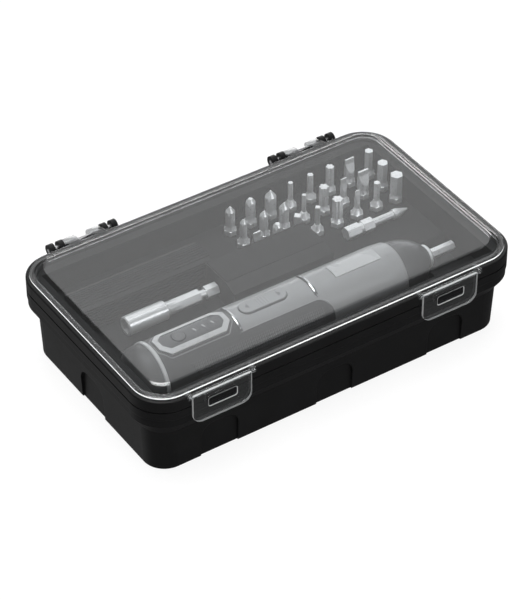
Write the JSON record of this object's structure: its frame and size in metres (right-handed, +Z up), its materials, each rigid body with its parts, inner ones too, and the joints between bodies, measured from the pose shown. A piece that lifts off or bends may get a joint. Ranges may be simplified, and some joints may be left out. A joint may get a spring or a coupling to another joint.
{
  "type": "cordless screwdriver and bit set",
  "caption": "Hard case with a clear hinged lid and two clear latches, holding a cordless straight screwdriver, standing hex bits, a long bit and a magnetic bit holder in a moulded tray.",
  "frame": {"origin": "middle of the face that the case rests on", "axes": "+X along the case, -Y the latch side, +Y the hinge side, +Z up"},
  "size_m": [0.221, 0.1409, 0.0535],
  "materials": {
    "case_black": "fine moulded texture, black",
    "clear_plastic": "clear, glossy",
    "tray_black": "fine moulded texture, dark grey",
    "tool_steel": "satin nickel",
    "pin_steel": "ground steel",
    "magnet": "plated",
    "core_plastic": "moulded",
    "grip_rubber": "soft, hatched",
    "shell_light": "satin light grey",
    "dark_window": "glossy dark",
    "rocker_grey": "satin grey",
    "chrome_trim": "polished",
    "nose_dark": "satin dark",
    "lamp_ring": "frosted",
    "cell_wrap": "shrink wrap",
    "board_green": "solder mask",
    "motor_can": "drawn steel",
    "gear_plastic": "natural acetal"
  },
  "bodies": {
    "case": {"badge_plate": "tray_black", "battery_cell": "cell_wrap", "bit_cross_blunt": "tool_steel", "bit_cross_broad": "tool_steel", "bit_cross_large": "tool_steel", "bit_cross_middle": "tool_steel", "bit_cross_narrow": "tool_steel", "bit_cross_small": "tool_steel", "bit_cross_stub": "tool_steel", "bit_flat_broad": "tool_steel", "bit_flat_fine": "tool_steel", "bit_flat_narrow": "tool_steel", "bit_flat_small": "tool_steel", "bit_flat_wide": "tool_steel", "bit_hex_3": "tool_steel", "bit_hex_4": "tool_steel", "bit_hex_5": "tool_steel", "bit_hex_6": "tool_steel", "bit_square_large": "tool_steel", "bit_square_small": "tool_steel", "bit_star_10": "tool_steel", "bit_star_15": "tool_steel", "bit_star_25": "tool_steel", "bit_star_27": "tool_steel", "bit_star_30": "tool_steel", "bit_star_8": "tool_steel", "case_base": "case_black", "control_board": "board_green", "control_frame": "shell_light", "control_window": "dark_window", "front_shell": "shell_light", "grip_sleeve": "grip_rubber", "handle_core": "core_plastic", "hinge_pins": "pin_steel", "holder_body": "tool_steel", "holder_magnet": "magnet", "long_bit": "tool_steel", "motor": "motor_can", "name_plate": "shell_light", "nose_collar": "nose_dark", "nose_ring": "lamp_ring", "rear_cap": "grip_rubber", "rear_ring": "shell_light", "ring_gear": "gear_plastic", "spindle_bearing": "pin_steel", "tray": "tray_black", "trim_arcs": "chrome_trim"},
    "lid": {"case_lid": "clear_plastic"},
    "latch_left": {"latch_left": "clear_plastic"},
    "latch_right": {"latch_right": "clear_plastic"},
    "power_button": {"power_button": "dark_window"},
    "direction_rocker": {"direction_rocker": "rocker_grey"},
    "chuck": {"planet_carrier": "pin_steel", "chuck_magnet": "magnet", "fitted_bit": "tool_steel"},
    "motor_pinion": {"motor_pinion": "pin_steel"},
    "planet_1": {"planet_gear_1": "gear_plastic"},
    "planet_2": {"planet_gear_2": "gear_plastic"},
    "planet_3": {"planet_gear_3": "gear_plastic"}
  },
  "joints": [
    {"name": "lid_hinge", "type": "hinge", "parent": "case", "child": "lid", "pos_m": [0, 0.0693, 0.0462], "axis": [-1, 0, 0], "range_deg": [0, 110]},
    {"name": "latch_left_pivot", "type": "hinge", "parent": "lid", "child": "latch_left", "pos_m": [-0.0712, -0.0671, 0.0492], "axis": [-1, 0, 0], "range_deg": [0, 95]},
    {"name": "latch_right_pivot", "type": "hinge", "parent": "lid", "child": "latch_right", "pos_m": [0.0638, -0.0671, 0.0492], "axis": [-1, 0, 0], "range_deg": [0, 95]},
    {"name": "power_button_press", "type": "slide", "parent": "case", "child": "power_button", "axis": [0, 0, -1], "range_m": [0, 0.0006], "stiffness_N_per_m": 600},
    {"name": "direction_rocker_tilt", "type": "hinge", "parent": "case", "child": "direction_rocker", "pos_m": [-0.0209, -0.0262, 0.0479], "axis": [0, 1, 0], "range_deg": [-3, 3], "stiffness_Nm_per_rad": 0.4},
    {"name": "chuck_spin", "type": "hinge", "parent": "case", "child": "chuck", "pos_m": [0, -0.0262, 0.0324], "axis": [1, 0, 0], "continuous": true},
    {"name": "motor_spin", "type": "hinge", "parent": "case", "child": "motor_pinion", "pos_m": [0, -0.0262, 0.0324], "axis": [1, 0, 0], "continuous": true},
    {"name": "planet_1_spin", "type": "hinge", "parent": "chuck", "child": "planet_1", "pos_m": [0.022, -0.019, 0.0324], "axis": [1, 0, 0], "continuous": true},
    {"name": "planet_2_spin", "type": "hinge", "parent": "chuck", "child": "planet_2", "pos_m": [0.022, -0.0298, 0.03864], "axis": [1, 0, 0], "continuous": true},
    {"name": "planet_3_spin", "type": "hinge", "parent": "chuck", "child": "planet_3", "pos_m": [0.022, -0.0298, 0.02617], "axis": [1, 0, 0], "continuous": true}
  ],
  "couplings": [
    {"joint": "motor_spin", "follows": "chuck_spin", "ratio": 4},
    {"joint": "planet_1_spin", "follows": "chuck_spin", "ratio": -3},
    {"joint": "planet_2_spin", "follows": "chuck_spin", "ratio": -3},
    {"joint": "planet_3_spin", "follows": "chuck_spin", "ratio": -3}
  ]
}
